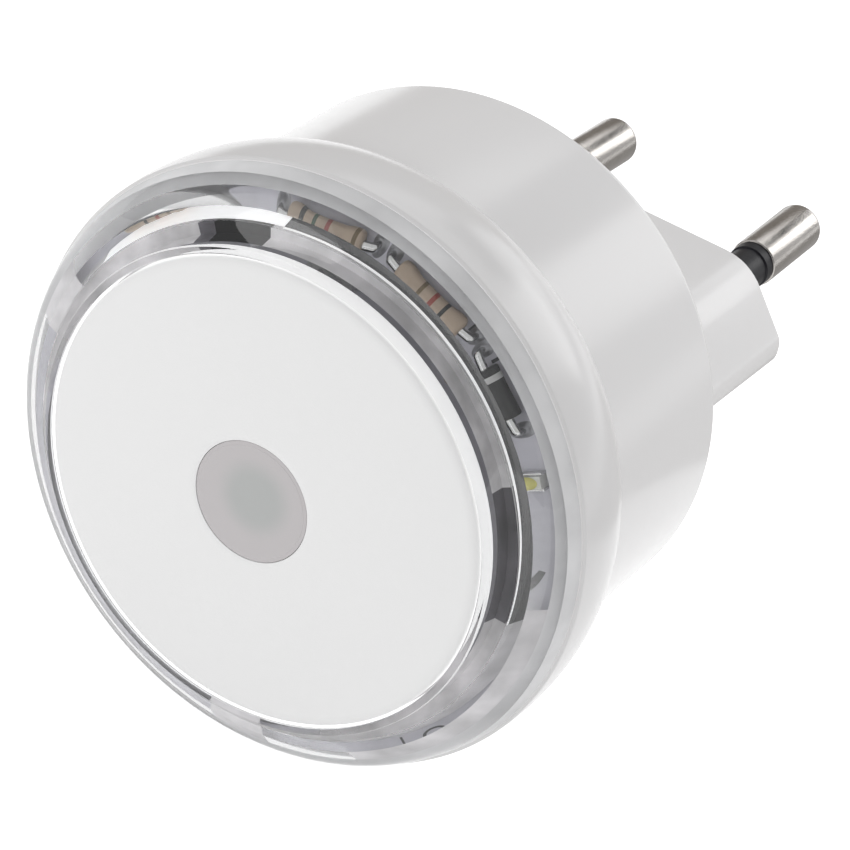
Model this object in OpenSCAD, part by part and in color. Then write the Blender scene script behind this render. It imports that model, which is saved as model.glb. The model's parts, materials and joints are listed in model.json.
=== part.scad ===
// Plug in night light for a two pin European socket, in millimetres.
// Frame: +Z up, the light faces -Y, the pins point along +Y and stand side by side along X.
// Origin: centre of the plug's engagement face, the flat that meets the socket.
// Depths run along +Y from the front disc's edge (0) to the engagement face (face_depth).

/* [Body] */
// Depth from the front disc's edge to the engagement face
face_depth = 49.5; // [44:0.5:56]
// Outer radius of the flange
flange_r = 24.4; // [21.9:0.1:28]
// Depth at which the clear cover meets the flange
rim_depth = 5.3; // [4.8:0.1:6]
// Depth at which the flange meets the rear housing
seam_depth = 14.5; // [13:0.5:16]
// How far the flange stands out beyond the rear housing
seam_step = 2.5; // [2.2:0.1:2.9]
// How much the rear housing narrows from the seam to its rear edge
rear_taper = 0.2; // [0.1:0.1:0.6]
// Depth of the rear housing's back wall face
back_depth = 30; // [27:0.5:34]
// Rounding of the rear edge
rear_round = 0.9; // [0.4:0.1:2]

/* [Front] */
// Thickness of the front disc at its edge
disc_t = 1.6; // [1.4:0.1:1.8]
// Height of the front disc's crown at its centre
crown = 1.4; // [0.8:0.1:2]
// Radius of the sensor window
window_r = 4.85; // [4:0.05:5.4]
// Thickness of the clear cover's wall round the disc
cup_wall = 0.65; // [0.5:0.05:0.9]
// Radius of the small resistors that lie behind the clear cover
resistor_r = 0.7; // [0.6:0.05:0.75]

/* [Plug] */
// Half width of the plug block
block_half_w = 17.3; // [17:0.1:17.8]
// Half height of the plug block
block_half_h = 6.3; // [6.1:0.1:7]
// Half pitch of the pins at the engagement face
pin_base_x = 9.45; // [9.1:0.05:9.55]
// Half pitch of the pins at their tips
pin_tip_x = 9; // [8.6:0.05:9.1]
// Length of a pin beyond the engagement face
pin_length = 19; // [18.5:0.5:19.5]
// Radius of a pin's bare metal end
pin_r = 2; // [1.95:0.05:2.05]
// Length of the black sleeve beyond the engagement face
sleeve_length = 10; // [9:0.5:10]

/* [Board] */
// Gap between the circuit board's edge and the clear cover
board_gap = 0.55; // [0.4:0.05:0.75]
// Depth of the circuit board's front face
board_depth = 5; // [5:0.1:5.2]
// Thickness of the circuit board
board_t = 1.6; // [1.2:0.2:1.6]

/* [Hidden] */
$fn = 96;

fit_gap = 0.15;      // gap round a piece that drops into place
press_gap = 0.05;    // gap round a piece that is pressed or moulded in
join = 0.5;          // how far the shapes of one solid run into each other

// Rings from the flange's outside inwards
rim_land = 1.35;     // flange rim outside the clear cover's spigot
spigot_wall = 0.6;
lane_slope = 1.09;   // how far the lane's slanted outer side leans in from the spigot
lane_tuck = 0.09;    // how far a resistor reaches out under that slant
cup_step = 0.55;     // step from the lane's inner side in to the cup's lip
spigot_out_r = flange_r - rim_land;
spigot_in_r = spigot_out_r - spigot_wall;
lane_out_r = spigot_in_r - lane_slope;
lane_in_r = lane_out_r - 2 * resistor_r + lane_tuck;
cup_r = lane_in_r - cup_step;
disc_r = cup_r - cup_wall - fit_gap;
board_r = spigot_in_r - board_gap;

// Clear cover
cover_floor_t = 1.4;
foot_wall = 1.65;
foot_draft = 0.1;    // how much the cup's wall thickens towards the board
ceiling_gap = 0.55;  // room between the lane's ceiling and a resistor
ceiling_round = 0.15;
foot_gap = 0.4;      // room between the cup's wall and the board
spigot_length = 2.3;
groove_gap = 0.3;    // room at the bottom of the spigot's groove
cover_foot = board_depth - foot_gap;
cup_in_r = lane_in_r - foot_wall;
spigot_depth = rim_depth + spigot_length;
cover_edge = 0.25;   // how far the cover's rim lies inside the flange
lip_round = 0.25;
roof_near = [1.99, 1.65];  // steers the cover's outside near the lip, from the cup's radius
roof_far = [1.4, 1.72];    // the same near the rim, inwards from the flange's radius
roof_end = [0.65, 1.4];    // where the curve ends, in from the flange and up from the rim

// Front disc and sensor window
crown_r = (disc_r * disc_r + crown * crown) / (2 * crown);
window_gap = 0.1;
window_lip = 1.6;
window_flange_r = window_r + window_lip;
window_flange_t = 0.6;
flange_gap = 0.2;    // gap round the window's flange

// Flange and rear housing
board_back = board_depth + board_t;
seam_land = 1.5;     // width of the ring on which the two housings meet
rear_spigot_wall = 1.35;
rear_spigot_length = 3.9;
rear_wall = 1.7;
floor_t = 2;
rear_r = flange_r - seam_step;
rear_end_r = rear_r - rear_taper;
ledge_in_r = rear_r - seam_land;
rear_spigot_r = ledge_in_r - fit_gap;
rear_spigot_in_r = rear_spigot_r - rear_spigot_wall;
rear_spigot_depth = seam_depth - rear_spigot_length;
rim_edge = [0.2, 0.3];     // small bevel between the rim and the flange's side
bulge_front = [0.2, 3.4];  // steers the flange's side behind the rim, outwards
bulge_rear = [0.2, 2.5];   // the same before the seam, inwards
seam_line = 0.05;          // how far the flange stands out at the seam itself

// Plug block outline
block_flat_x = 13;                  // half width of the flat top and bottom
block_side_z = 0.8;                 // half height of the short upright side edge
block_side_round = 0.6;
block_edge_round = 2.4;
block_wall = 2;
nose_t = 9.5;                       // solid plastic that holds the pins

// Pins
pin_tilt = atan((pin_base_x - pin_tip_x) / pin_length);
pin_core_r = 1.3;
pin_root_r = 2.3;                   // thick root inside the block
sleeve_r = 1.72;
sleeve_inset = 3.5;                 // length of sleeve inside the block
pin_head_r = 2.9;
pin_head_t = 1.5;
pin_head_gap = 0.08;                // room for the head's tilt against the square seat
pin_tail_r = 1.1;
pin_tail = 3;
pin_bevel = 0.1;
pin_round = 0.8;

// Screw posts
post_r = 2.9;
post_sink = 0.3;                    // how far a post runs into the rear housing's spigot
post_z = rear_spigot_in_r + post_sink - post_r;
screw_r = 1.1;
screw_head_r = 1.9;
screw_head_t = 1.3;
screw_length = 8;
screw_end_gap = 0.5;

// Parts on the board
lead_r = 0.25;
lead_hole_r = 0.4;
lead_proud = 0.6;                   // how far a lead stands out of the board
lead_short = 0.1;                   // how far the lane's leads stop inside the board
lane_seat = 0.05;                   // gap under a part that lies on the board's front
rail_gap = 0.1;                     // gap between the cup's wall and a resistor
rail_r = lane_in_r + foot_draft + rail_gap + resistor_r;
lane_ceiling = board_depth - lane_seat - 2 * resistor_r - ceiling_gap;
resistor_length = 6.3;
resistor_span = 8.2;
front_diode_r = 0.7;
front_diode_length = 3.9;
front_diode_span = 6.4;
led_size = 1.4;
led_t = 1;
side_gap = 1.15;                    // along the lane, from the upper resistor's lead to the next one's
diode_gap = 0.95;                   // the same from that resistor to the diode
led_gap = 3.05;                     // the same from the diode to the first LED
lane_turn = 180 / (PI * rail_r);    // degrees round the lane for each millimetre along it
upper_angle = 93;
left_angle = 134;
side_angle = upper_angle - lane_turn * (resistor_span + side_gap);
diode_angle = side_angle - lane_turn * ((resistor_span + front_diode_span) / 2 + diode_gap);
first_led_angle = diode_angle - lane_turn * ((front_diode_span + led_size) / 2 + led_gap);
led_angles = [first_led_angle, 165, 272];

stand_off = 0.3;
film_size = [13, 11.5, 6];
film_z = 7.5;
film_pitch = 10;
smooth_r = 3.15;
smooth_length = 11;
smooth_at = [10, -6];
smooth_pitch = 2.5;
back_resistor_r = 1.15;
back_resistor_length = 6.3;
back_resistor_span = 9.4;
discharge_at = [-9.5, 7.4];
fusible_at = [9.5, 7.4];
bridge_x = [-2.7, -5.55, -8.4, -11.25];
bridge_z = -7.1;
bridge_r = 1.25;
bridge_length = 5.2;
bridge_span = 8.4;
zener_at = [4, -10.2];
zener_r = 0.9;
zener_length = 3.8;
zener_span = 6.4;
transistor_at = [3, -4];
transistor_r = 2.4;
transistor_flat = 1.4;
transistor_length = 4.8;
transistor_pitch = 1.27;
transistor_lift = 2;
sensor_r = 2.15;
sensor_pitch = 2.5;
sensor_front = 2.6;
sensor_t = 2;
shroud_in_r = 2.8;
shroud_out_r = 3.6;

// Wires from the pins' tails to the board
wire_r = 0.65;
wire_gap = 0.05;                    // gap between a pin's tail and its wire
wire_end = [14, 3];
wire_knee_r = 0.75;
wire_slant = 7;                     // depth over which the wire steps sideways
wire_foot = 9;                      // straight length of wire at the board
tail_depth = face_depth - nose_t - pin_head_gap - pin_head_t - pin_tail;
tail_x = pin_base_x + (face_depth - tail_depth) * tan(pin_tilt);

// A point on a cubic curve through p[0] and p[3], steered by p[1] and p[2]
function curve_point(p, t) =
    pow(1 - t, 3) * p[0] + 3 * t * pow(1 - t, 2) * p[1] + 3 * t * t * (1 - t) * p[2] + pow(t, 3) * p[3];
function curve(p, steps) = [for (i = [0:steps]) curve_point(p, i / steps)];
// Points of a quarter or other arc about centre c
function arc(c, r, from, to, steps) =
    [for (i = [0:steps]) let(a = from + (to - from) * i / steps) c + r * [cos(a), sin(a)]];

// Turns a half section of [radius, depth] points about the plug's axis
module turned(points) {
    translate([0, -face_depth, 0])
        rotate([-90, 0, 0])
            rotate_extrude()
                polygon(points);
}

// A round bar along +Y between two depths at [x, z]
module bar(at, r, from, to) {
    translate([at[0], from - face_depth, at[1]])
        rotate([-90, 0, 0])
            cylinder(r = r, h = to - from, $fn = 32);
}

// Six sided outline with rounded corners, drawn in X and Z
function block_corners(shrink) = [
    [block_half_w - shrink, block_side_z],
    [block_flat_x - shrink, block_half_h - shrink],
    [-block_flat_x + shrink, block_half_h - shrink],
    [-block_half_w + shrink, block_side_z],
    [-block_half_w + shrink, -block_side_z],
    [-block_flat_x + shrink, -block_half_h + shrink],
    [block_flat_x - shrink, -block_half_h + shrink],
    [block_half_w - shrink, -block_side_z]
];
// Each corner becomes a short curve that starts and ends a set distance along its two sides
function toward(a, b, d) = a + d * (b - a) / norm(b - a);
function rounded(c, d) = [
    for (i = [0:len(c) - 1])
        let(p = c[i], q = c[(i + len(c) - 1) % len(c)], n = c[(i + 1) % len(c)],
            a = toward(p, q, d[i]), b = toward(p, n, d[i]))
            for (t = [0:0.25:1]) (1 - t) * (1 - t) * a + 2 * t * (1 - t) * p + t * t * b
];
module block_prism(shrink, from, to) {
    rounding = [for (i = [0:7]) i % 4 == 0 || i % 4 == 3 ? block_side_round : block_edge_round];
    translate([0, to - face_depth, 0])
        rotate([90, 0, 0])
            linear_extrude(to - from)
                polygon(rounded(block_corners(shrink), rounding));
}

// Stands its children on a pin's axis, with local +Y along the pin and 0 at the engagement face
module on_pin(side) {
    translate([side * pin_base_x, 0, 0])
        rotate([0, 0, side * pin_tilt])
            children();
}

// Turns a half section of [radius, length] points about a pin's axis
module turned_on_pin(side, points) {
    on_pin(side)
        rotate([-90, 0, 0])
            rotate_extrude($fn = 64)
                polygon(points);
}

module pin(side) {
    seat = -nose_t - pin_head_gap;
    turned_on_pin(side, concat(
        [[0, seat - pin_head_t - pin_tail], [pin_tail_r, seat - pin_head_t - pin_tail],
         [pin_tail_r, seat - pin_head_t], [pin_head_r, seat - pin_head_t],
         [pin_head_r, seat], [pin_root_r, seat], [pin_root_r, -sleeve_inset],
         [pin_core_r, -sleeve_inset], [pin_core_r, sleeve_length],
         [pin_r - pin_bevel, sleeve_length], [pin_r, sleeve_length + pin_bevel]],
        arc([pin_r - pin_round, pin_length - pin_round], pin_round, 0, 90, 6),
        [[0, pin_length]]));
}

module sleeve(side) {
    turned_on_pin(side,
        [[pin_core_r, -sleeve_inset], [sleeve_r, -sleeve_inset],
         [sleeve_r, sleeve_length], [pin_core_r, sleeve_length]]);
}

// The room that a pin and its sleeve take in the moulded block
module pin_room(side) {
    turned_on_pin(side,
        [[0, -nose_t - 1], [pin_root_r + press_gap, -nose_t - 1],
         [pin_root_r + press_gap, press_gap - sleeve_inset],
         [sleeve_r + press_gap, press_gap - sleeve_inset],
         [sleeve_r + press_gap, 1], [0, 1]]);
}

// A straight run of wire along -Y
module wire_run(length) {
    rotate([90, 0, 0])
        cylinder(r = wire_r, h = length, $fn = 32);
}
// Insulated wire that steps sideways between a pin's tail and the board, with a knee at each bend
module wire(side) {
    drift = [side * (wire_end[0] - tail_x), wire_end[1]];
    across = norm(drift);
    head = tail_depth - wire_gap - board_back - wire_foot - wire_slant;
    translate([side * tail_x, tail_depth - wire_gap - face_depth, 0])
        rotate([0, -atan2(drift[1], drift[0]), 0]) {
            wire_run(head);
            translate([0, -head, 0]) {
                sphere(r = wire_knee_r, $fn = 32);
                rotate([0, 0, atan2(across, wire_slant)])
                    wire_run(norm([across, wire_slant]));
            }
            translate([across, -head - wire_slant, 0]) {
                sphere(r = wire_knee_r, $fn = 32);
                wire_run(wire_foot);
            }
        }
}

// A round part with two leads, its axis along a given heading.
// at is [x, z], and heading turns it from +X towards +Z.
// rest is the depth of its axis, and foot is the depth that its leads reach.
module axial_part(at, heading, r, length, span, rest, foot) {
    translate([at[0], rest - face_depth, at[1]])
        rotate([0, -heading, 0]) {
            rotate([0, 90, 0])
                cylinder(r = r, h = length, center = true, $fn = 40);
            for (side = [-1, 1]) {
                translate([side * span / 2, 0, 0])
                    rotate([foot > rest ? -90 : 90, 0, 0])
                        cylinder(r = lead_r, h = abs(foot - rest), $fn = 16);
                translate([side * span / 2, 0, 0])
                    sphere(r = lead_r, $fn = 16);
                translate([side < 0 ? -span / 2 : length / 2, 0, 0])
                    rotate([0, 90, 0])
                        cylinder(r = lead_r, h = (span - length) / 2, $fn = 16);
            }
        }
}
function lane(angle) = rail_r * [cos(angle), sin(angle)];
function lead_ends(at, heading, span) =
    [for (side = [-1, 1]) at + side * span / 2 * [cos(heading), sin(heading)]];

// A part in the lane on the front of the board
module lane_part(angle, r, length, span) {
    rest = board_depth - r - lane_seat;
    axial_part(lane(angle), angle + 90, r, length, span, rest, board_back - lead_short);
}
// A part on the back of the board
module back_part(at, heading, r, length, span) {
    axial_part(at, heading, r, length, span, board_back + r + stand_off, board_depth - lead_proud);
}

lead_holes = concat(
    lead_ends(lane(upper_angle), upper_angle + 90, resistor_span),
    lead_ends(lane(side_angle), side_angle + 90, resistor_span),
    lead_ends(lane(left_angle), left_angle + 90, resistor_span),
    lead_ends(lane(diode_angle), diode_angle + 90, front_diode_span),
    lead_ends([0, film_z], 0, film_pitch),
    lead_ends(smooth_at, 0, smooth_pitch),
    lead_ends(discharge_at, 90, back_resistor_span),
    lead_ends(fusible_at, 90, back_resistor_span),
    [for (x = bridge_x) each lead_ends([x, bridge_z], 90, bridge_span)],
    lead_ends(zener_at, 0, zener_span),
    lead_ends(transistor_at, 0, 2 * transistor_pitch),
    [transistor_at],
    lead_ends([0, 0], 0, sensor_pitch)
);

// Points of the domed front between two radii
function dome(from, to, steps) = [
    for (i = [0:steps])
        let(r = from + (to - from) * i / steps)
            [r, crown_r - crown - sqrt(crown_r * crown_r - r * r)]
];

module front_disc() {
    color("whitesmoke")
        turned(concat(dome(window_r + window_gap, disc_r, 10),
            [[disc_r, disc_t], [window_r + window_gap, disc_t]]));
}
module bar_disc(r, from, to) {
    translate([0, from - face_depth, 0])
        rotate([-90, 0, 0])
            cylinder(r = r, h = to - from);
}

module sensor_window() {
    color("gainsboro")
        turned(concat(dome(0, window_r, 4),
            [[window_r, disc_t], [window_flange_r, disc_t],
             [window_flange_r, disc_t + window_flange_t], [0, disc_t + window_flange_t]]));
}

module clear_cover() {
    roof = [[cup_r, lip_round], [cup_r + roof_near[0], roof_near[1]],
            [flange_r - roof_far[0], roof_far[1]], [flange_r - roof_end[0], rim_depth - roof_end[1]]];
    color("lightcyan")
        turned(concat(
            [[disc_r + fit_gap, 0], [cup_r, 0]],
            curve(roof, 10),
            [[flange_r - cover_edge, rim_depth], [spigot_out_r, rim_depth], [spigot_out_r, spigot_depth],
             [spigot_in_r, spigot_depth], [spigot_in_r, board_depth], [lane_out_r, lane_ceiling],
             [lane_in_r + ceiling_round, lane_ceiling], [lane_in_r, lane_ceiling + ceiling_round],
             [lane_in_r + foot_draft, cover_foot], [cup_in_r, cover_foot],
             [cup_in_r, disc_t + cover_floor_t], [window_flange_r + flange_gap, disc_t + cover_floor_t],
             [window_flange_r + flange_gap, disc_t], [disc_r + fit_gap, disc_t]]));
}

module front_housing() {
    bulge = [[flange_r, rim_depth + rim_edge[1]], [flange_r + bulge_front[0], rim_depth + bulge_front[1]],
             [flange_r - bulge_rear[0], seam_depth - bulge_rear[1]], [rear_r + seam_line, seam_depth]];
    groove_depth = spigot_depth + groove_gap;
    color("white")
        turned(concat(
            [[spigot_out_r + press_gap, rim_depth], [flange_r - rim_edge[0], rim_depth]],
            curve(bulge, 12),
            [[ledge_in_r, seam_depth], [ledge_in_r, board_back], [spigot_in_r - 2 * press_gap, board_back],
             [spigot_in_r - 2 * press_gap, groove_depth], [spigot_out_r + press_gap, groove_depth]]));
}

module rear_housing() {
    color("white")
        difference() {
            union() {
                turned(concat(
                    [[rear_spigot_in_r, rear_spigot_depth], [rear_spigot_r, rear_spigot_depth],
                     [rear_spigot_r, seam_depth], [rear_r, seam_depth]],
                    arc([rear_end_r - rear_round, back_depth - rear_round], rear_round, 0, 90, 6),
                    [[0, back_depth], [0, back_depth - floor_t],
                     [rear_end_r - rear_wall, back_depth - floor_t],
                     [rear_r - rear_wall, seam_depth + floor_t],
                     [rear_spigot_in_r, seam_depth]]));
                block_prism(0, back_depth - join, face_depth);
                for (z = [-post_z, post_z])
                    bar([0, z], post_r, board_back, back_depth - join);
            }
            block_prism(block_wall, back_depth - floor_t - 1, face_depth - nose_t);
            for (side = [-1, 1])
                pin_room(side);
            for (z = [-post_z, post_z])
                bar([0, z], screw_r, board_back - join, board_back + screw_length);
        }
}

module left_pin() {
    color("silver") pin(-1);
}
module right_pin() {
    color("silver") pin(1);
}
module left_sleeve() {
    color("black") sleeve(-1);
}
module right_sleeve() {
    color("black") sleeve(1);
}
module live_wire() {
    color("brown") wire(1);
}
module neutral_wire() {
    color("blue") wire(-1);
}

module circuit_board() {
    color("beige")
        difference() {
            bar_disc(board_r, board_depth, board_back);
            for (at = lead_holes)
                bar(at, lead_hole_r, board_depth - join, board_back + join);
            for (z = [-post_z, post_z])
                bar([0, z], screw_r + fit_gap, board_depth - join, board_back + join);
        }
}

module photosensor() {
    color("dimgray")
        union() {
            bar([0, 0], sensor_r, sensor_front, sensor_front + sensor_t);
            for (at = lead_ends([0, 0], 0, sensor_pitch))
                bar(at, lead_r, sensor_front + sensor_t - join, board_back + lead_proud);
        }
}

module sensor_shroud() {
    front = disc_t + window_flange_t;
    color("black")
        difference() {
            bar_disc(shroud_out_r, front, board_depth);
            bar_disc(shroud_in_r, front - join, board_depth + join);
        }
}

module leds() {
    color("khaki")
        for (angle = led_angles)
            rotate([0, -angle, 0])
                translate([rail_r - led_size / 2, board_depth - led_t - face_depth, -led_size / 2])
                    cube([led_size, led_t, led_size]);
}

module upper_resistor() {
    color("tan") lane_part(upper_angle, resistor_r, resistor_length, resistor_span);
}
module side_resistor() {
    color("tan") lane_part(side_angle, resistor_r, resistor_length, resistor_span);
}
module left_resistor() {
    color("tan") lane_part(left_angle, resistor_r, resistor_length, resistor_span);
}
module front_diode() {
    color("black") lane_part(diode_angle, front_diode_r, front_diode_length, front_diode_span);
}

module film_capacitor() {
    color("goldenrod")
        union() {
            translate([-film_size[0] / 2, board_back + stand_off - face_depth, film_z - film_size[2] / 2])
                cube(film_size);
            for (at = lead_ends([0, film_z], 0, film_pitch))
                bar(at, lead_r, board_depth - lead_proud, board_back + stand_off + join);
        }
}
module smoothing_capacitor() {
    color("midnightblue")
        union() {
            bar(smooth_at, smooth_r, board_back + stand_off, board_back + stand_off + smooth_length);
            for (at = lead_ends(smooth_at, 0, smooth_pitch))
                bar(at, lead_r, board_depth - lead_proud, board_back + stand_off + join);
        }
}
module discharge_resistor() {
    color("tan") back_part(discharge_at, 90, back_resistor_r, back_resistor_length, back_resistor_span);
}
module fusible_resistor() {
    color("tan") back_part(fusible_at, 90, back_resistor_r, back_resistor_length, back_resistor_span);
}
module bridge_diodes() {
    color("black")
        for (x = bridge_x)
            back_part([x, bridge_z], 90, bridge_r, bridge_length, bridge_span);
}
module zener_diode() {
    color("orangered") back_part(zener_at, 0, zener_r, zener_length, zener_span);
}
module switch_transistor() {
    base = board_back + transistor_lift;
    color("black")
        union() {
            intersection() {
                bar(transistor_at, transistor_r, base, base + transistor_length);
                translate([transistor_at[0] - transistor_r, base - join - face_depth,
                           transistor_at[1] - transistor_flat])
                    cube([2 * transistor_r, transistor_length + 2 * join, transistor_flat + transistor_r]);
            }
            for (at = concat(lead_ends(transistor_at, 0, 2 * transistor_pitch), [transistor_at]))
                bar(at, lead_r, board_depth - lead_proud, base + join);
        }
}

module board_screws() {
    color("silver")
        for (z = [-post_z, post_z]) {
            bar([0, z], screw_head_r, board_depth - screw_head_t, board_depth);
            bar([0, z], screw_r - press_gap, board_depth, board_back + screw_length - screw_end_gap);
        }
}

front_disc();
sensor_window();
clear_cover();
front_housing();
rear_housing();
left_pin();
right_pin();
left_sleeve();
right_sleeve();
live_wire();
neutral_wire();
circuit_board();
photosensor();
sensor_shroud();
leds();
upper_resistor();
side_resistor();
left_resistor();
front_diode();
film_capacitor();
smoothing_capacitor();
discharge_resistor();
fusible_resistor();
bridge_diodes();
zener_diode();
switch_transistor();
board_screws();
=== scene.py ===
import json
import math

import bmesh
import bpy
from mathutils import Matrix, Vector

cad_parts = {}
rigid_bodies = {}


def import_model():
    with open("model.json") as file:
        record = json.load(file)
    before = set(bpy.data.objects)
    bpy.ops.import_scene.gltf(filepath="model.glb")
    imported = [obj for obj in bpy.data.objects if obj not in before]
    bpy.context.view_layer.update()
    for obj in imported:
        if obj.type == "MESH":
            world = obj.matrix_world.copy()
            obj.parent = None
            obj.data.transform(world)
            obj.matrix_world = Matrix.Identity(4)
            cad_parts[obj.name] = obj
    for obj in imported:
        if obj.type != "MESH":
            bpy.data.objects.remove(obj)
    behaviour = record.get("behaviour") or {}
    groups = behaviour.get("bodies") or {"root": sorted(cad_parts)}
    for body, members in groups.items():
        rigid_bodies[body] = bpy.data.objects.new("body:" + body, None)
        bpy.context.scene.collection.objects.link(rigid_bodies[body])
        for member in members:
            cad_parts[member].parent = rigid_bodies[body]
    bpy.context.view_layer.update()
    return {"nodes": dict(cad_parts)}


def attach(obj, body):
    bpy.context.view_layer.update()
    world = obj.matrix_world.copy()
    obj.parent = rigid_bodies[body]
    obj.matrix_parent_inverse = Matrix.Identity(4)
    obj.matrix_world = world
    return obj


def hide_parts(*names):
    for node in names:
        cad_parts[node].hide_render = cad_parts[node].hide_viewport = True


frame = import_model()

MM = 0.001
FACE = 49.5          # depth of the engagement face behind the front disc's edge, mm
ROUND = 2 * math.pi

# ---------------------------------------------------------------- sizes, mm; depths are behind the front disc's edge
disc_r, disc_t, crown, disc_round = 18.7, 1.6, 1.4, 0.35
crown_r = (disc_r ** 2 + crown ** 2) / (2 * crown)
window_r, window_foot, window_t = 4.85, 1.6, 0.6
cup_r, cup_in_r, cup_foot, cup_lip = 19.5, 18.4, 4.6, 0.12
recess_wall, recess_depth = 0.15, 1.4
roof_near, roof_far, roof_end = (1.99, 1.65), (1.4, 1.72), (0.65, 1.4)
lane_in_r, lane_out_r, lane_top, lane_round = 20.05, 21.36, 3.0, 0.15
lane_foot_r, lane_foot = 22.08, 4.32
line_start, line_end = 3.2, 3.3          # depths of the thin line round the lane's inner wall
flange_r, rim_depth, seam_depth, rim_seat_r = 24.4, 5.3, 14.5, 23.3
spigot_out_r, spigot_in_r, spigot_depth = 23.05, 22.45, 7.6
housing_r, collar_in_r, collar_r, collar_front = 20.4, 18.9, 20.25, 10.6
rear_r, rear_end_r, back_depth, rear_round, back_wall = 21.9, 21.7, 30.0, 0.9, 2.0
block_half_w, block_half_h, block_flat_x, block_side_z = 17.3, 6.3, 13.0, 0.8
pin_base_x, pin_tip_x, pin_length, pin_r, pin_round, pin_bevel = 9.45, 9.0, 19.0, 2.0, 0.8, 0.12
pin_tilt = math.atan((pin_base_x - pin_tip_x) / pin_length)
pin_core_r, pin_root_r, pin_head_r, pin_tail_r = 1.3, 2.3, 2.9, 1.1
pin_head, pin_head_end, pin_tail_end = 9.58, 11.08, 14.08          # lengths inside the block
sleeve_r, sleeve_length, sleeve_inset, cuff_r, cuff_length = 1.72, 10.0, 3.5, 1.85, 1.0
board_depth, board_t = 5.0, 1.6
rail_r, lane_r, lead_r = 20.95, 0.7, 0.25
lane_rest = board_depth - lane_r - 0.05
lane_turn = 180 / (math.pi * rail_r)      # degrees round the lane for each millimetre along it
resistor_half, resistor_span, diode_half, diode_span = 3.15, 8.2, 1.95, 6.4
led_size, side_gap, diode_gap, led_gap = 1.4, 1.15, 0.95, 3.05
SKIN = 0.03          # air between faces that meet, mm

# angles round the lane, in degrees from +X towards +Z
upper_angle, left_angle, left_led_angle, bottom_led_angle = 93.0, 134.0, 165.0, 272.0
side_angle = upper_angle - lane_turn * (resistor_span + side_gap)
diode_angle = side_angle - lane_turn * ((resistor_span + diode_span) / 2 + diode_gap)
right_led_angle = diode_angle - lane_turn * ((diode_span + led_size) / 2 + led_gap)


# ---------------------------------------------------------------- modelling by operators
def free():
    for o in bpy.context.view_layer.objects:
        o.select_set(False)


def place(depth):
    """Metres along Y for a depth behind the front disc's edge."""
    return (depth - FACE) * MM


def spot(r, t, y=0.0):
    """The point at a radius in mm and an angle in degrees round the plug's axis, y in metres."""
    a = math.radians(t)
    return Vector((r * MM * math.cos(a), y, r * MM * math.sin(a)))


def edit():
    bpy.ops.object.mode_set(mode="EDIT")


def done(name):
    """Leaves edit mode and puts the piece's place in its mesh."""
    bpy.ops.object.mode_set(mode="OBJECT")
    o = bpy.context.object
    o.name = o.data.name = name
    bpy.ops.object.transform_apply(location=True, rotation=True, scale=True)
    return o


def pick(test, kind="VERT"):
    """Selects, in edit mode, what the test names by its place."""
    bpy.ops.mesh.select_mode(type=kind)
    bpy.ops.mesh.select_all(action="DESELECT")
    bm = bmesh.from_edit_mesh(bpy.context.object.data)
    for part in {"VERT": bm.verts, "EDGE": bm.edges}[kind]:
        part.select_set(bool(test(part)))
    bm.select_flush_mode()
    bmesh.update_edit_mesh(bpy.context.object.data)


def draw(points):
    """One vertex, extruded from place to place through [radius, depth] points."""
    free()
    spots = [Vector((r * MM, place(d), 0)) for r, d in points]
    bpy.ops.mesh.primitive_plane_add(size=0.001, location=(0, 0, 0))
    edit()
    bpy.ops.mesh.select_mode(type="VERT")
    bpy.ops.mesh.select_all(action="SELECT")
    bpy.ops.mesh.merge(type="CENTER")
    bpy.ops.transform.translate(value=spots[0])
    for a, b in zip(spots, spots[1:]):
        bpy.ops.mesh.extrude_vertices_move(TRANSFORM_OT_translate={"value": b - a})


def turned(name, points, steps=192, angle=32):
    """Spins a drawn half section about the plug's axis; one that misses the axis is closed first."""
    draw(points)
    if points[0][0] > 0 and points[-1][0] > 0:
        last = len(points) - 1
        pick(lambda v: v.index in (0, last))
        bpy.ops.mesh.edge_face_add()
    bpy.ops.mesh.select_all(action="SELECT")
    bpy.ops.mesh.spin(steps=steps, angle=ROUND, center=(0, 0, 0), axis=(0, 1, 0))
    bpy.ops.mesh.select_all(action="SELECT")
    bpy.ops.mesh.remove_doubles(threshold=1e-6)
    bpy.ops.mesh.normals_make_consistent(inside=False)
    o = done(name)
    bpy.ops.object.shade_smooth_by_angle(angle=math.radians(angle))
    return o


def arc(c, r, start, end, steps):
    """Points of an arc about [radius, depth] centre c, angles in degrees from +radius to +depth."""
    out = []
    for i in range(steps + 1):
        a = math.radians(start + (end - start) * i / steps)
        out.append((c[0] + r * math.cos(a), c[1] + r * math.sin(a)))
    return out


def cubic(p, steps):
    """Points of the curve with the four [radius, depth] control points p."""
    out = []
    for i in range(steps + 1):
        t = i / steps
        w = ((1 - t) ** 3, 3 * t * (1 - t) ** 2, 3 * t * t * (1 - t), t ** 3)
        out.append(tuple(sum(k * q[j] for k, q in zip(w, p)) for j in (0, 1)))
    return out


def dome(start, end, steps):
    """Points on the disc's crowned front, from one radius to another."""
    out = []
    for i in range(steps + 1):
        r = start + (end - start) * i / steps
        out.append((r, crown_r - crown - math.sqrt(crown_r ** 2 - r * r)))
    return out


def put(o, turn=0.0, axis="Z", shift=(0, 0, 0)):
    """Turns a finished piece about the origin, then shifts it, with its place in its mesh."""
    free()
    o.select_set(True)
    bpy.context.view_layer.objects.active = o
    edit()
    bpy.ops.mesh.select_all(action="SELECT")
    if turn:
        # with no window the rotate operator turns the other way
        bpy.ops.transform.rotate(value=-turn, orient_axis=axis, center_override=(0, 0, 0))
    bpy.ops.transform.translate(value=shift)
    bpy.ops.object.mode_set(mode="OBJECT")
    return o


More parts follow.
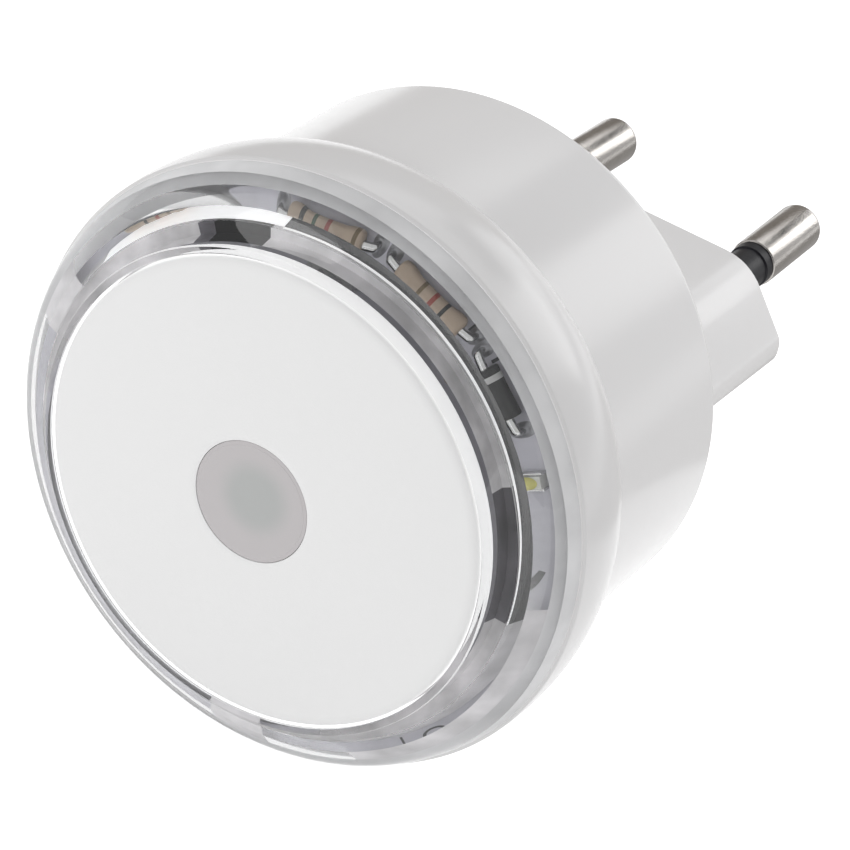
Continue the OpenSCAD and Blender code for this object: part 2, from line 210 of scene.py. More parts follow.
# ---------------------------------------------------------------- materials
def finish(name, colour, rough=0.4, spread=0.03, scale=900.0, grain=0.0, grain_scale=4000.0,
           rough_spread=0.05, **sockets):
    """A moulded or plated finish: a little colour and gloss variation and a fine surface grain."""
    m = bpy.data.materials.new(name)
    m.use_nodes = True
    nodes, links = m.node_tree.nodes, m.node_tree.links
    shader = nodes["Principled BSDF"]
    where = nodes.new("ShaderNodeTexCoord")
    cloud = nodes.new("ShaderNodeTexNoise")
    cloud.inputs["Scale"].default_value = scale
    cloud.inputs["Detail"].default_value = 3.0
    ramp = nodes.new("ShaderNodeValToRGB")
    ramp.color_ramp.elements[0].position = 0.3
    ramp.color_ramp.elements[1].position = 0.7
    for end, k in zip(ramp.color_ramp.elements, (1 - spread, 1.0)):
        end.color = (*[c * k for c in colour], 1)
    gloss = nodes.new("ShaderNodeMapRange")
    gloss.inputs["To Min"].default_value = max(0.0, rough - rough_spread)
    gloss.inputs["To Max"].default_value = rough + rough_spread
    links.new(where.outputs["Object"], cloud.inputs["Vector"])
    links.new(cloud.outputs["Fac"], ramp.inputs["Fac"])
    links.new(ramp.outputs["Color"], shader.inputs["Base Color"])
    links.new(cloud.outputs["Fac"], gloss.inputs["Value"])
    links.new(gloss.outputs["Result"], shader.inputs["Roughness"])
    if grain:
        fine = nodes.new("ShaderNodeTexNoise")
        fine.inputs["Scale"].default_value = grain_scale
        fine.inputs["Detail"].default_value = 2.0
        bump = nodes.new("ShaderNodeBump")
        bump.inputs["Strength"].default_value = grain
        bump.inputs["Distance"].default_value = 0.00005
        links.new(where.outputs["Object"], fine.inputs["Vector"])
        links.new(fine.outputs["Fac"], bump.inputs["Height"])
        links.new(bump.outputs["Normal"], shader.inputs["Normal"])
    for key, value in sockets.items():
        shader.inputs[key.replace("_", " ")].default_value = value
    return m


def soft_middle(m, centre, inner, outer, middle, rim):
    """Blends two colours by the distance from a centre in X and Z, in metres."""
    nodes, links = m.node_tree.nodes, m.node_tree.links
    where = nodes.new("ShaderNodeTexCoord")
    flat = nodes.new("ShaderNodeVectorMath")
    flat.operation = "MULTIPLY"
    flat.inputs[1].default_value = (1, 0, 1)
    away = nodes.new("ShaderNodeVectorMath")
    away.operation = "DISTANCE"
    away.inputs[1].default_value = (centre[0], 0, centre[1])
    fade = nodes.new("ShaderNodeMapRange")
    fade.interpolation_type = "SMOOTHSTEP"
    fade.inputs["From Min"].default_value, fade.inputs["From Max"].default_value = inner, outer
    mix = nodes.new("ShaderNodeMix")
    mix.data_type = "RGBA"
    mix.inputs["A"].default_value, mix.inputs["B"].default_value = (*middle, 1), (*rim, 1)
    for a, b in ((where.outputs["Object"], flat.inputs[0]), (flat.outputs["Vector"], away.inputs[0]),
                 (away.outputs["Value"], fade.inputs["Value"]), (fade.outputs["Result"], mix.inputs["Factor"]),
                 (mix.outputs["Result"], nodes["Principled BSDF"].inputs["Base Color"])):
        links.new(a, b)


def dress(o, *materials):
    o.data.materials.clear()
    for m in materials:
        o.data.materials.append(m)


def ready(o, material, slot, *nodes):
    """A new piece: its material, the body it rides on, its slot and the solids it stands for. The slot is not used."""
    dress(o, material)
    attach(o, "root")
    if nodes:
        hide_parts(*nodes)
    return o


white_gloss = finish("white_gloss_shell", (0.82, 0.812, 0.814), rough=0.2, spread=0.01, scale=60, rough_spread=0.02,
                     Specular_IOR_Level=0.33)
# the same white plastic as the shell, made darker on the flange as painted shade
flange_white_shaded = finish("white_gloss_shaded_flange", (0.75, 0.742, 0.744), rough=0.2, spread=0.01, scale=60,
                      rough_spread=0.02, Specular_IOR_Level=0.33)
white_satin = finish("white_satin_disc", (0.86, 0.86, 0.86), rough=0.5, spread=0.01, scale=80, grain=0.25,
                     grain_scale=9000)
frosted = finish("frosted_window", (0.60, 0.575, 0.585), rough=0.45, spread=0.02, scale=300, grain=0.15)
clear = finish("clear_cover_plastic", (0.96, 0.965, 0.97), rough=0.03, spread=0.01, scale=40, rough_spread=0.01,
               Transmission_Weight=1.0, IOR=1.52)
# lamps don't reach through clear plastic, so some of what lies behind it glows as painted light; this first finish
# glows white as a painted highlight on the rim's seat, the lip round the disc and a line on the lane's wall
rim_painted_highlight = finish("rim_painted_highlight", (0.92, 0.92, 0.92), rough=0.5, spread=0.03, scale=300,
                   Emission_Color=(1, 1, 1, 1), Emission_Strength=0.5)
cover_weld = finish("cover_weld", (0.84, 0.84, 0.85), rough=0.6, spread=0.25, scale=160)
# a cloudy frosted finish with a faint painted glow, on the cup's wall and foot and over parts of the lane
cloud_painted_glow = finish("cloud_painted_glow", (0.84, 0.82, 0.84), rough=0.6, spread=0.5, scale=260,
                     Emission_Color=(1, 1, 1, 1), Emission_Strength=0.1)
# grey painted shade for two stretches of the cup's wall and foot
painted_grey_shade = finish("painted_grey_shade", (0.20, 0.19, 0.22), rough=0.6, spread=0.6, scale=300)
# a painted dark reflection: the black band and block seen in the clear cover, put on its inner walls
painted_dark_reflection = finish("painted_dark_reflection", (0.008, 0.008, 0.01), rough=0.5, spread=0.2, scale=400, Specular_IOR_Level=0.0)
nickel = finish("nickel_plate", (0.43, 0.41, 0.39), rough=0.17, grain=0.35, grain_scale=7000, spread=0.08,
                scale=500, rough_spread=0.06, Metallic=1.0)
sleeve_black = finish("sleeve_black", (0.010, 0.010, 0.014), rough=0.4, spread=0.2, scale=700, grain=0.2,
                      Specular_IOR_Level=0.25)
# the board's lavender lacquer with a faint painted glow
board_glow = finish("lacquer_painted_glow", (0.68, 0.67, 0.73), rough=0.35, spread=0.2, scale=350,
                    Emission_Color=(0.9, 0.9, 1, 1), Emission_Strength=0.02)
resistor_body = finish("resistor_glaze", (0.46, 0.36, 0.27), rough=0.3, spread=0.1, scale=900)
black_epoxy = finish("black_epoxy", (0.022, 0.022, 0.022), rough=0.42, spread=0.2, scale=900, grain=0.05)
bright_tin = finish("bright_tin", (0.66, 0.66, 0.65), rough=0.18, spread=0.06, scale=2000, Metallic=1.0)
band_red = finish("band_red", (0.30, 0.045, 0.03), rough=0.3, spread=0.1, scale=2000)
band_green = finish("band_green", (0.02, 0.07, 0.035), rough=0.3, spread=0.1, scale=2000)
band_black = finish("band_black", (0.012, 0.012, 0.012), rough=0.3, spread=0.1, scale=2000)
band_olive = finish("band_olive", (0.16, 0.11, 0.05), rough=0.3, spread=0.1, scale=2000)
band_silver = finish("band_silver", (0.55, 0.55, 0.54), rough=0.35, spread=0.1, scale=2000)
solder_tin = finish("solder_tin", (0.42, 0.42, 0.44), rough=0.4, spread=0.3, scale=1500, Metallic=0.6)
mark_ink = finish("mark_ink", (0.05, 0.05, 0.055), rough=0.5, spread=0.2, scale=2000)
led_frame = finish("led_frame", (0.80, 0.80, 0.76), rough=0.4, spread=0.04, scale=2000)
led_phosphor = finish("led_phosphor", (0.72, 0.68, 0.22), rough=0.4, spread=0.1, scale=1200)
film_yellow = finish("film_case", (0.62, 0.40, 0.07), rough=0.35, spread=0.12, scale=500, grain=0.2)
navy_sleeve = finish("navy_sleeve", (0.02, 0.03, 0.12), rough=0.3, spread=0.15, scale=500)
zener_glass = finish("zener_glass", (0.62, 0.16, 0.04), rough=0.12, spread=0.1, scale=900)
sensor_resin = finish("sensor_resin", (0.12, 0.11, 0.11), rough=0.4, spread=0.1, scale=900)
wire_brown = finish("wire_brown", (0.12, 0.045, 0.02), rough=0.45, spread=0.1, scale=800)
wire_blue = finish("wire_blue", (0.02, 0.06, 0.32), rough=0.45, spread=0.1, scale=800)
screw_steel = finish("screw_steel", (0.58, 0.58, 0.57), rough=0.28, spread=0.1, scale=1500, Metallic=1.0)

# ---------------------------------------------------------------- front disc and sensor window
hole = dome(window_r + 0.06, disc_r - disc_round, 24)
disc = turned("front_face", [(window_r + 0.03, hole[0][1] + 0.06), (window_r + 0.04, hole[0][1] + 0.01)] + hole
              + arc((disc_r - disc_round, disc_round + 0.01), disc_round, -90, 0, 5)[1:]
              + [(disc_r, disc_t), (window_r + 0.1, disc_t), (window_r + 0.03, disc_t - 0.1)])
ready(disc, white_satin, "white_satin", "front_disc")

face = dome(0, window_r - 0.3, 10)
top = face[-1][1]
foot_r, foot_depth = window_r + window_foot, disc_t + window_t - SKIN
lens = turned("window_lens", face + [(window_r - 0.27, top + 0.02), (window_r - 0.03, top + 0.04),
                                     (window_r, top + 0.08), (window_r, disc_t + SKIN), (foot_r, disc_t + SKIN),
                                     (foot_r, foot_depth), (0, foot_depth)], steps=128, angle=20)
soft_middle(frosted, (0.0003, 0.0005), 0.0016, 0.0036, (0.455, 0.465, 0.46), (0.54, 0.517, 0.523))
ready(lens, frosted, "frosted_grey", "sensor_window")

# ---------------------------------------------------------------- clear cover
lip_r, seat, shelf = disc_r + recess_wall, rim_depth - SKIN, disc_t + recess_depth
roof = cubic([(cup_r, 0.25), (cup_r + roof_near[0], roof_near[1]), (flange_r - roof_far[0], roof_far[1]),
              (flange_r - roof_end[0], rim_depth - roof_end[1])], 24)
section = [(lip_r, cup_lip)] + arc((lip_r + cup_lip, cup_lip), cup_lip, 180, 270, 3)[1:]
section += arc((cup_r - cup_lip, cup_lip), cup_lip, -90, 0, 3) + roof
section += [(flange_r - 0.27, seat), (rim_seat_r, seat), (spigot_out_r - SKIN, seat),
            (spigot_out_r - SKIN, spigot_depth), (spigot_in_r, spigot_depth), (spigot_in_r, board_depth),
            (lane_foot_r, lane_foot), (lane_out_r, lane_top), (lane_in_r + lane_round, lane_top),
            (lane_in_r, lane_top + lane_round)]
section += [(lane_in_r + 0.07 * (d - lane_top - lane_round), d) for d in (line_start, line_end)]
section += [(lane_in_r + 0.1, cup_foot), (cup_in_r, cup_foot), (cup_in_r, shelf), (window_r + 1.8, shelf),
            (window_r + 1.8, disc_t + SKIN), (lip_r, disc_t + SKIN)]
cover = turned("light_ring", section, steps=256)
ready(cover, clear, "clear_plastic", "clear_cover")

for m in (cover_weld, cloud_painted_glow, painted_dark_reflection, painted_grey_shade, rim_painted_highlight):
    cover.data.materials.append(m)
CLEAR, WELD, FROST_GLOW, PAINTED_REFLECTION, GREY_SHADE, HIGHLIGHT_GLOW = range(6)


def cover_face(r, d, t):
    """The finish of a face of the cover, painted glow, shade and reflection included, by its radius and depth in mm and
    its angle in degrees.
    """
    lane_wall = abs(r - lane_in_r) < 0.12 and line_start < d < cup_foot
    # the seat on the flange and the lip round the disc glow white as a painted highlight; the weld beside the seat is
    # plain white
    if r > rim_seat_r and d > rim_depth - 0.05:
        return HIGHLIGHT_GLOW
    if r > lane_out_r + 0.1 and d > rim_depth - 0.05 or r > lane_foot_r + 0.04 and lane_foot + 0.08 < d < board_depth:
        return WELD
    if abs(r - lip_r) < 0.02 and d > 0.2:
        return HIGHLIGHT_GLOW
    # the cup's wall and foot: a block of painted dark reflection, two stretches of painted grey shade, and elsewhere a
    # faint painted glow
    if r < lane_in_r + 0.05 and d > cup_foot - 0.01 or abs(r - cup_in_r) < 0.02 and d > shelf + 0.05:
        return PAINTED_REFLECTION if 106 < t < 119 else GREY_SHADE if -7 < t < 26 or 119 <= t < 124 else FROST_GLOW
    # the lane's inner wall: a painted dark reflection behind a glowing line of painted highlight, then glowing white as
    # painted highlight
    if lane_wall and -6 < t < 101:
        return PAINTED_REFLECTION if d > line_end else HIGHLIGHT_GLOW
    if lane_wall and 101 <= t < 150:
        return HIGHLIGHT_GLOW if d > line_end else CLEAR
    if disc_t < d < disc_t + 0.1 and r < disc_r:
        return FROST_GLOW
    # frosted, with a faint painted glow, in front of two of the lights and over the lane's lower right
    if (158 < t < 172 or -94 < t < -82) and lane_in_r < r < lane_foot_r + 0.02 and lane_top - 0.02 < d < 4.4:
        return FROST_GLOW
    if (-62 < t < (0 if r > rail_r else -6) and lane_in_r - 0.02 < r < spigot_in_r
            and lane_top + 0.1 < d < board_depth):
        return FROST_GLOW
    return CLEAR


for p in cover.data.polygons:
    p.material_index = cover_face(math.hypot(p.center.x, p.center.z) / MM, p.center.y / MM + FACE,
                                  math.degrees(math.atan2(p.center.z, p.center.x)))

# ---------------------------------------------------------------- flange ring and rear shell
bulge = cubic([(flange_r, rim_depth + 0.3), (flange_r + 0.2, rim_depth + 3.4), (flange_r - 0.2, seam_depth - 2.5),
               (rear_r + 0.05, seam_depth - 0.03)], 32)
ring = turned("flange_ring", [(spigot_out_r + 0.05, rim_depth), (flange_r - 0.2, rim_depth)]
              + arc((flange_r - 0.2, rim_depth + 0.25), 0.2, -60, -10, 3) + bulge
              + [(rear_r - 0.1, seam_depth), (housing_r, seam_depth), (housing_r, board_depth + board_t),
                 (spigot_in_r - 0.1, board_depth + board_t), (spigot_in_r - 0.1, spigot_depth + 0.3),
                 (spigot_out_r + 0.05, spigot_depth + 0.3)], steps=256)
ready(ring, flange_white_shaded, "white_gloss", "front_housing")

shell = turned("rear_shell", [(collar_in_r, collar_front), (collar_r, collar_front), (collar_r, seam_depth),
                              (rear_r - 0.15, seam_depth), (rear_r, seam_depth + 0.05)]
               + arc((rear_end_r - rear_round, back_depth - rear_round), rear_round, 0, 90, 10)
               + [(0, back_depth), (0, back_depth - back_wall), (20.0, back_depth - back_wall),
                  (20.2, seam_depth + 2), (collar_in_r, seam_depth)], steps=256)
ready(shell, white_gloss, "white_gloss", "rear_housing")


# ---------------------------------------------------------------- plug block
def toward(a, b, d):
    return a + (b - a).normalized() * d


def plug_block():
    """The six sided block: a rounded outline, extruded, bevelled and cut for the moulded pins."""
    w, h, f, v = block_half_w, block_half_h, block_flat_x, block_side_z
    corners = [Vector(c) for c in ((w, v), (f, h), (-f, h), (-w, v), (-w, -v), (-f, -h), (f, -h), (w, -v))]
    outline = []
    for i, p in enumerate(corners):
        d, steps = (0.6, 4) if i % 4 in (0, 3) else (2.4, 8)
        a, b = toward(p, corners[i - 1], d), toward(p, corners[(i + 1) % 8], d)
        for k in range(steps + 1):
            t = k / steps
            outline.append((1 - t) ** 2 * a + 2 * t * (1 - t) * p + t * t * b)
    root = place(back_depth - 0.5)
    free()
    bpy.ops.mesh.primitive_circle_add(vertices=len(outline), radius=0.01, fill_type="NGON",
                                      location=(0, 0, 0), rotation=(math.pi / 2, 0, 0))
    bpy.ops.object.transform_apply(rotation=True)
    edit()
    bm = bmesh.from_edit_mesh(bpy.context.object.data)
    turn = sorted(bm.verts, key=lambda q: math.atan2(q.co.z, q.co.x) % ROUND)
    for q, c in zip(turn, outline):
        q.co = Vector((c.x * MM, root, c.y * MM))
    bmesh.update_edit_mesh(bpy.context.object.data)
    bpy.ops.mesh.select_all(action="SELECT")
    bpy.ops.mesh.extrude_region_move(TRANSFORM_OT_translate={"value": (0, -root, 0)})
    bpy.ops.mesh.select_all(action="SELECT")
    bpy.ops.mesh.normals_make_consistent(inside=False)
    face_y = -1e-5
    pick(lambda e: all(q.co.y > face_y for q in e.verts), "EDGE")
    bpy.ops.mesh.bevel(offset=0.4 * MM, segments=3, profile=0.5)
    o = done("plug_block")
    # the two rooms that the pins and their sleeves are moulded in
    for side in (-1, 1):
        free()
        bpy.ops.mesh.primitive_cylinder_add(vertices=64, radius=(sleeve_r + 0.05) * MM, depth=0.012,
                                            location=(side * (pin_base_x + 0.1) * MM, -0.003, 0),
                                            rotation=(math.pi / 2, 0, side * pin_tilt))
        cutter = bpy.context.object
        bpy.context.view_layer.objects.active = o
        cut = o.modifiers.new("pin_room", "BOOLEAN")
        cut.operation = "DIFFERENCE"
        cut.object = cutter
        cut.solver = "EXACT"
        free()
        o.select_set(True)
        bpy.ops.object.modifier_apply(modifier=cut.name)
        bpy.data.objects.remove(cutter)
    bpy.ops.object.shade_smooth_by_angle(angle=math.radians(28))
    return o


ready(plug_block(), white_gloss, "white_gloss", "rear_housing")


# ---------------------------------------------------------------- pins and sleeves
def on_pin(o, side):
    """Tilts a piece turned about the Y axis to a pin's axis."""
    return put(o, turn=side * pin_tilt, axis="Z", shift=(side * pin_base_x * MM, 0, 0))


def along(points):
    """Lengths from the engagement face as depths."""
    return [(r, y + FACE) for r, y in points]


neck = pin_r - pin_bevel
pin_profile = along([(0, -pin_tail_end), (pin_tail_r, -pin_tail_end), (pin_tail_r, -pin_head_end),
                     (pin_head_r, -pin_head_end), (pin_head_r, -pin_head), (pin_root_r, -pin_head),
                     (pin_root_r, -sleeve_inset), (pin_core_r, -sleeve_inset), (pin_core_r, sleeve_length),
                     (neck, sleeve_length)]
                    + arc((neck, sleeve_length + pin_bevel), pin_bevel, -90, 0, 4)[1:]
                    + arc((pin_r - pin_round, pin_length - pin_round), pin_round, 0, 90, 12) + [(0, pin_length)])
cuff = sleeve_length - cuff_length
sleeve_profile = along([(pin_core_r, -sleeve_inset), (sleeve_r, -sleeve_inset), (sleeve_r, cuff - 0.05),
                        (cuff_r - 0.05, cuff), (cuff_r, cuff + 0.05), (cuff_r, sleeve_length - 0.05),
                        (cuff_r - 0.05, sleeve_length), (pin_core_r, sleeve_length)])
for side, word in ((-1, "left"), (1, "right")):
    pin = on_pin(turned(word + "_plug_pin", pin_profile, steps=96), side)
    ready(pin, nickel, "nickel", word + "_pin")
    sleeve = on_pin(turned(word + "_pin_sleeve", sleeve_profile, steps=96), side)
    ready(sleeve, sleeve_black, "black_sleeve", word + "_sleeve")


# ---------------------------------------------------------------- parts in the lane
def in_lane(o, t):
    """Lays a piece turned about the Y axis along the lane at the angle t."""
    put(o, turn=-math.pi / 2, axis="Z")
    return put(o, turn=-(math.radians(t) + math.pi / 2), axis="Y", shift=spot(rail_r, t, place(lane_rest)))


def rings(o, bands):
    """Printed rings on a body turned about Y; bands are (start, end, material) in mm along it."""
    for k, (start, end, material) in enumerate(bands):
        o.data.materials.append(material)
        for p in o.data.polygons:
            if start < p.center.y / MM < end:
                p.material_index = k + 1


def wire(name, points, r):
    """A round wire laid through points in metres."""
    free()
    bpy.ops.curve.primitive_nurbs_path_add(radius=1.0, location=(0, 0, 0))
    path = bpy.context.object
    spline = path.data.splines[0]
    spline.points.add(len(points) - len(spline.points))
    for q, at in zip(spline.points, points):
        q.co = (*at, 1)
    spline.order_u, spline.use_endpoint_u = 3, True
    path.data.resolution_u, path.data.bevel_depth, path.data.bevel_resolution = 6, r, 3
    path.data.use_fill_caps = True
    bpy.ops.object.convert(target="MESH")
    o = bpy.context.object
    o.name = o.data.name = name
    edit()
    bpy.ops.mesh.select_all(action="SELECT")
    bpy.ops.mesh.normals_make_consistent(inside=False)
    bpy.ops.object.mode_set(mode="OBJECT")
    return o


def leads(name, t, half, span):
    """The two bent leads of the lane part of that name, and the solder round each."""
    a = math.radians(t)
    along_lane = Vector((-math.sin(a), 0, math.cos(a)))
    middle = spot(rail_r, t, place(lane_rest))
    for side, word in ((-1, "first"), (1, "second")):
        start = middle + along_lane * side * (half - 0.1) * MM
        bend = middle + along_lane * side * span / 2 * MM
        foot = Vector((bend.x, place(board_depth + board_t - 0.15), bend.z))
        lead = wire(name + "_" + word + "_lead",
                    [start, start.lerp(bend, 0.6), bend, bend.lerp(foot, 0.25), bend.lerp(foot, 0.5), foot],
                    (lead_r - 0.02) * MM)
        ready(lead, bright_tin, None, name)
        solder = turned(name + "_" + word + "_solder",
                        [(0, board_depth - 0.3), (0.26, board_depth - 0.28), (0.34, board_depth - 0.16),
                         (0.5, board_depth - 0.05), (0.6, board_depth - 0.02), (0, board_depth - 0.02)],
                        steps=32, angle=60)
        put(solder, shift=(bend.x, 0, bend.z))
        ready(solder, solder_tin, None, name)


def resistor(name, t, bands):
    """A resistor with bulged ends; the points between them part its bands."""
    h = resistor_half
    body = [(0.2, -h), (0.42, -h + 0.02), (0.6, -h + 0.14), (0.68, -h + 0.36), (0.7, -h + 0.7), (0.68, -h + 1.1),
            (0.62, -h + 1.45), (0.6, -1.5)]
    inner = [(0.6, y) for y in (-1.2, -0.75, -0.45, -0.1, 0.2, 0.7, 1.0)]
    o = turned(name + "_body", along(body + inner + [(r, -y) for r, y in reversed(body)]), steps=48, angle=50)
    ready(o, resistor_body, "resistor_tan", name)
    rings(o, bands)
    in_lane(o, t)
    leads(name, t, h, resistor_span)


resistor("upper_resistor", upper_angle, [(-0.45, -0.1, band_red), (0.7, 1.0, band_green), (1.7, 2.05, band_black),
                                         (-2.79, -2.45, band_olive)])
resistor("side_resistor", side_angle, [(-0.45, -0.1, band_red), (0.7, 1.0, band_olive), (-1.5, -1.2, band_black)])
resistor("left_resistor", left_angle, [(-0.45, -0.1, band_red), (0.7, 1.0, band_black), (-1.5, -1.2, band_olive)])

end = [(0.2, diode_half), (0.6, diode_half), (0.68, diode_half - 0.06), (0.7, diode_half - 0.14)]
can = turned("front_diode_body", along([(r, -y) for r, y in end] + [(0.7, -0.9), (0.7, 0.95), (0.7, 1.4)]
                                       + end[::-1]), steps=48, angle=50)
ready(can, black_epoxy, "black_epoxy", "front_diode")
rings(can, [(0.95, 1.4, band_silver)])
in_lane(can, diode_angle)
leads("front_diode", diode_angle, diode_half, diode_span)

# light emitting diodes: a white frame, two end caps of tin and a domed phosphor face
for name, t in (("right_led", right_led_angle), ("left_led", left_led_angle), ("bottom_led", bottom_led_angle)):
    for part, size, lift, z, material in (("frame", (1.36, 0.7, 1.0), 0.35, 0, led_frame),
                                          ("first_cap", (1.38, 0.5, 0.22), 0.25, 0.59, bright_tin),
                                          ("second_cap", (1.38, 0.5, 0.22), 0.25, -0.59, bright_tin)):
        free()
        bpy.ops.mesh.primitive_cube_add(size=MM, location=(0, place(board_depth - lift), z * MM))
        bpy.ops.transform.resize(value=size)
        box = done(name + "_" + part)
        edit()
        bpy.ops.mesh.select_all(action="SELECT")
        bpy.ops.mesh.bevel(offset=0.04 * MM, segments=2)
        bpy.ops.object.mode_set(mode="OBJECT")
        put(box, turn=-math.radians(t), axis="Y", shift=spot(rail_r, t))
        ready(box, material, None, "leds")
    glow_face = turned(name + "_face", [(0, board_depth - 0.98), (0.25, board_depth - 0.95), (0.42, board_depth - 0.86),
                                        (0.52, board_depth - 0.72), (0, board_depth - 0.72)], steps=32, angle=50)
    put(glow_face, shift=spot(rail_r, t))
    ready(glow_face, led_phosphor, "led_yellow", "leds")

# plain printed marks on the board: dashes, lines and an oval
ink_depth = place(board_depth - 0.012)
for k, (t, r, long, wide) in enumerate(((58.0, 21.45, 0.25, 0.7), (50.6, 21.5, 0.25, 0.7), (3.0, 21.45, 2.6, 0.14),
                                        (-1.5, 21.0, 3.4, 0.14), (4.2, 21.25, 0.14, 0.5), (-52.0, 20.9, 0.2, 1.1))):
    free()
    bpy.ops.mesh.primitive_cube_add(size=MM, location=(0, ink_depth, 0))
    bpy.ops.transform.resize(value=(wide, 0.016, long))
    dash = done("board_mark_%d" % (k + 1))
    put(dash, turn=-math.radians(t), axis="Y", shift=spot(r, t))
    ready(dash, mark_ink, None)
free()
bpy.ops.mesh.primitive_torus_add(major_radius=0.6 * MM, minor_radius=0.09 * MM, major_segments=48, minor_segments=8,
                                 location=(0, 0, 0), rotation=(math.pi / 2, 0, 0))
oval = done("board_mark_oval")
edit()
bpy.ops.mesh.select_all(action="SELECT")
bpy.ops.transform.resize(value=(0.75, 0.1, 1.7))
bpy.ops.object.mode_set(mode="OBJECT")
put(oval, turn=-math.radians(-44), axis="Y", shift=spot(20.9, -44, ink_depth))
ready(oval, mark_ink, None)

# ---------------------------------------------------------------- carried over solids
for node, material in (("live_wire", wire_brown), ("neutral_wire", wire_blue), ("circuit_board", board_glow),
                       ("photosensor", sensor_resin), ("sensor_shroud", black_epoxy),
                       ("film_capacitor", film_yellow), ("smoothing_capacitor", navy_sleeve),
                       ("discharge_resistor", resistor_body), ("fusible_resistor", resistor_body),
                       ("bridge_diodes", black_epoxy), ("zener_diode", zener_glass),
                       ("switch_transistor", black_epoxy), ("board_screws", screw_steel)):
    dress(frame["nodes"][node], material)


# ---------------------------------------------------------------- floor, light and camera
def level_by_ray(nodes, links, shed, seen):
    """One level for the light that is shed, and one for what the camera, gloss and clear plastic see."""
    path = nodes.new("ShaderNodeLightPath")
    ray = path.outputs["Is Camera Ray"]
    for kind in ("Is Glossy Ray", "Is Transmission Ray"):
        either = nodes.new("ShaderNodeMath")
        either.operation = "MAXIMUM"
        links.new(ray, either.inputs[0])
        links.new(path.outputs[kind], either.inputs[1])
        ray = either.outputs[0]
    level = nodes.new("ShaderNodeMapRange")
    level.inputs["To Min"].default_value, level.inputs["To Max"].default_value = shed, seen
    links.new(ray, level.inputs["Value"])
    return level.outputs["Result"]


def stage_white(name, colour, glow):
    """Plain white that keeps a shadow and looks white to the camera, to metal and to clear plastic."""
    m = bpy.data.materials.new(name)
    m.use_nodes = True
    nodes, links = m.node_tree.nodes, m.node_tree.links
    nodes.clear()
    out = nodes.new("ShaderNodeOutputMaterial")
    paint = nodes.new("ShaderNodeBsdfDiffuse")
    paint.inputs["Color"].default_value = (*colour, 1)
    light = nodes.new("ShaderNodeEmission")
    both = nodes.new("ShaderNodeAddShader")
    links.new(level_by_ray(nodes, links, 0.5 * glow, glow), light.inputs["Strength"])
    links.new(paint.outputs[0], both.inputs[0])
    links.new(light.outputs[0], both.inputs[1])
    links.new(both.outputs[0], out.inputs["Surface"])
    return m


free()
bpy.ops.mesh.primitive_plane_add(size=6.0, location=(0, 0, -(flange_r + 0.06) * MM))
floor = bpy.context.object
floor.name = "floor"
dress(floor, stage_white("floor_white", (0.8, 0.8, 0.8), 0.62))

world = bpy.data.worlds.new("studio")
bpy.context.scene.world = world
world.use_nodes = True
nodes, links = world.node_tree.nodes, world.node_tree.links
nodes.clear()
out = nodes.new("ShaderNodeOutputWorld")
room = nodes.new("ShaderNodeBackground")
links.new(level_by_ray(nodes, links, 0.7, 1.0), room.inputs["Strength"])
links.new(room.outputs[0], out.inputs["Surface"])


def softbox(name, direction, distance, width, height, radiance, roll=0.0):
    """A rectangular lamp that faces the middle of the object."""
    middle = Vector((0, -0.03, 0))
    aim = Vector(direction).normalized()
    data = bpy.data.lights.new(name, "AREA")
    data.shape = "RECTANGLE"
    data.size, data.size_y = width, height
    data.energy = radiance * math.pi * width * height
    lamp = bpy.data.objects.new(name, data)
    turn = aim.to_track_quat("Z", "Y").to_matrix().to_4x4() @ Matrix.Rotation(roll, 4, "Z")
    lamp.matrix_world = Matrix.Translation(middle + aim * distance) @ turn
    bpy.context.collection.objects.link(lamp)


softbox("rear_softbox", (0.40, 0.80, 0.40), 0.5, 0.29, 0.19, 1.6, roll=math.radians(-45))
softbox("front_softbox", (-0.4, -0.85, 0.12), 0.9, 0.6, 0.6, 2.35)
softbox("back_fill", (-0.1, 0.85, 0.55), 1.0, 1.4, 1.0, 0.92)


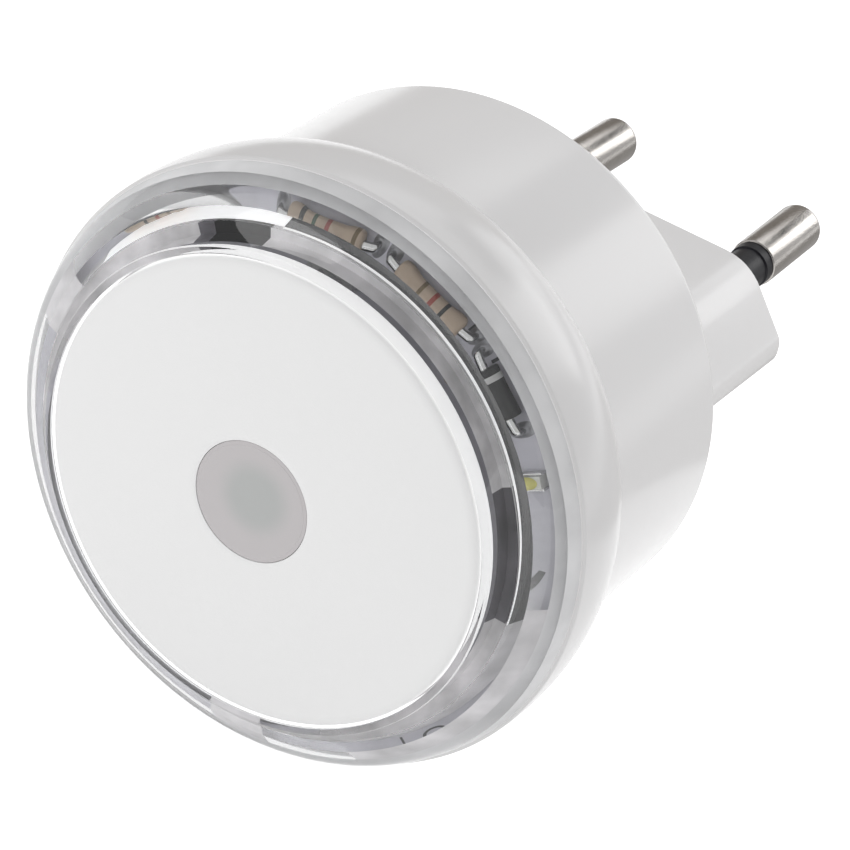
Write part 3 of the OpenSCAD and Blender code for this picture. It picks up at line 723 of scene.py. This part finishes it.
def card(name, location, turn, width, height, colour):
    """A plain card round the stage that only shows in gloss."""
    free()
    bpy.ops.mesh.primitive_plane_add(size=1.0, location=location, rotation=turn)
    o = bpy.context.object
    o.name = name
    o.scale = (width, height, 1)
    m = bpy.data.materials.new(name)
    m.use_nodes = True
    nodes = m.node_tree.nodes
    nodes.clear()
    light = nodes.new("ShaderNodeEmission")
    light.inputs["Color"].default_value = (*colour, 1)
    out = nodes.new("ShaderNodeOutputMaterial")
    m.node_tree.links.new(light.outputs[0], out.inputs["Surface"])
    dress(o, m)
    o.visible_camera = o.visible_diffuse = o.visible_transmission = o.visible_shadow = False


for name, direction, distance, width, height, colour in (
        ("grey_card", (-0.42, 0.763, 0.05), 0.5, 0.42, 0.62, (0.36, 0.335, 0.31)),
        ("dark_card", (0.08, 0.763, 0.62), 0.45, 0.16, 0.10, (0.05, 0.05, 0.05)),
        ("camera_side_card", (0.363, -0.763, 0.535), 0.75, 1.3, 1.3, (0.12, 0.12, 0.13))):
    aim = Vector(direction).normalized()
    card(name, Vector((0, 0.01, 0)) + aim * distance, aim.to_track_quat("Z", "Y").to_euler(), width, height, colour)
card("floor_card", (0.03, 0.10, -0.0242), (0, 0, 0), 0.16, 0.16, (0.5, 0.49, 0.48))
card("front_card", (-0.07, -0.45, -0.10), (math.pi / 2, 0, 0), 0.22, 0.22, (0.03, 0.03, 0.035))

# the camera as fitted to the photo: its place, its three axes and the middle of its picture
camera_at = Vector((0.13538, -0.308851, 0.193938))
right = Vector((0.829792, 0.525859, 0.186864))
up = Vector((-0.423678, 0.375658, 0.824244))
back = Vector((0.363239, -0.763121, 0.534513))
data = bpy.data.cameras.new("camera")
data.sensor_width = 36.0
data.lens = 202.684
data.shift_x, data.shift_y = -0.00252, 0.00123
data.clip_start, data.clip_end = 0.01, 20.0
camera = bpy.data.objects.new("camera", data)
camera.matrix_world = Matrix.Translation(camera_at) @ Matrix((right, up, back)).transposed().to_4x4()
bpy.context.collection.objects.link(camera)
bpy.context.scene.camera = camera
bpy.context.scene.view_settings.view_transform = "Standard"

bpy.context.view_layer.update()
